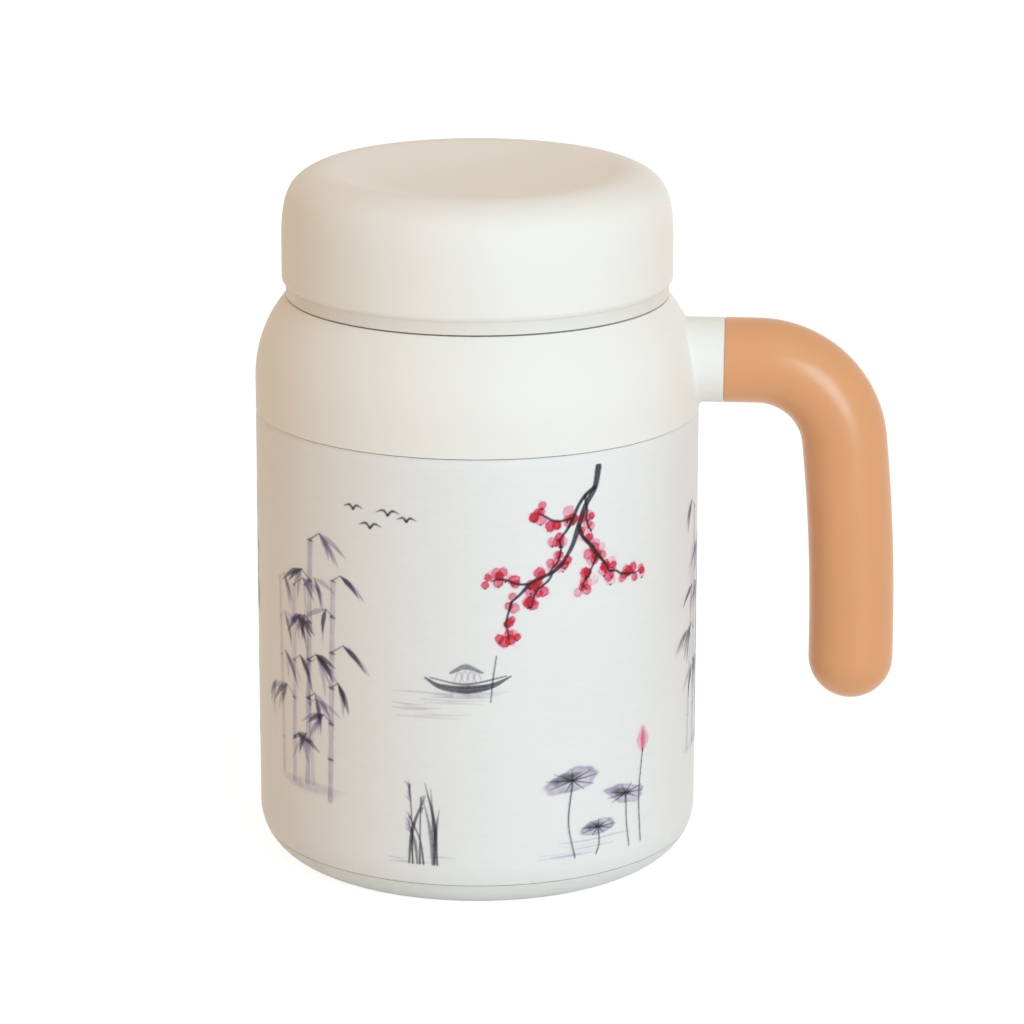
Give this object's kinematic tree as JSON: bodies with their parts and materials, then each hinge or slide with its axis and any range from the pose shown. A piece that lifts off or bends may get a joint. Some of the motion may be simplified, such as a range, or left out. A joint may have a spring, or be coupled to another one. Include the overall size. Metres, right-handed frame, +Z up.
{
  "type": "insulated tea infuser mug",
  "caption": "Short double-walled vacuum mug with a dished turn-off lid, a lift-out perforated tea infuser and an open-ended cane handle.",
  "frame": {"origin": "centre of the flat base, on the mug's own axis", "axes": "+Z up along the mug's axis, +X towards the handle"},
  "size_m": [0.1304, 0.09, 0.1421],
  "materials": {
    "coated_steel": "fine matte powder coat",
    "steel": "electropolished",
    "infuser_steel": "fine satin",
    "ivory_plastic": "fine satin moulding",
    "inner_plastic": "satin moulding",
    "grip_plastic": "satin caramel moulding",
    "core_plastic": "plain moulding",
    "base_rubber": "matte",
    "silicone": "soft translucent white",
    "seal_glass": "fused",
    "foam": "fine closed cell"
  },
  "bodies": {
    "mug": {"outer_shell": "coated_steel", "inner_liner": "steel", "liner_floor": "steel", "shell_bottom": "steel", "vacuum_seal": "seal_glass", "getter": "steel", "base_pad": "base_rubber", "collar": "ivory_plastic", "collar_gasket": "silicone", "neck_ring": "inner_plastic", "neck_gasket": "silicone", "handle_core": "core_plastic", "handle_grip": "grip_plastic", "handle_screw": "steel", "handle_washer": "steel"},
    "infuser": {"infuser_basket": "infuser_steel", "infuser_floor": "infuser_steel", "infuser_rim": "inner_plastic", "infuser_gasket": "silicone"},
    "seal": {"lid_seal": "silicone"},
    "lid": {"lid_cap": "ivory_plastic", "lid_liner": "inner_plastic", "lid_foam": "foam"}
  },
  "joints": [
    {"name": "infuser_lift", "type": "slide", "parent": "mug", "child": "infuser", "axis": [0, 0, 1], "range_m": [0, 0.075]},
    {"name": "lid_lift", "type": "slide", "parent": "infuser", "child": "seal", "axis": [0, 0, 1], "range_m": [0, 0.08]},
    {"name": "lid_turn", "type": "hinge", "parent": "seal", "child": "lid", "pos_m": [0, 0, 0.12], "axis": [0, 0, 1], "range_deg": [0, 360]}
  ]
}
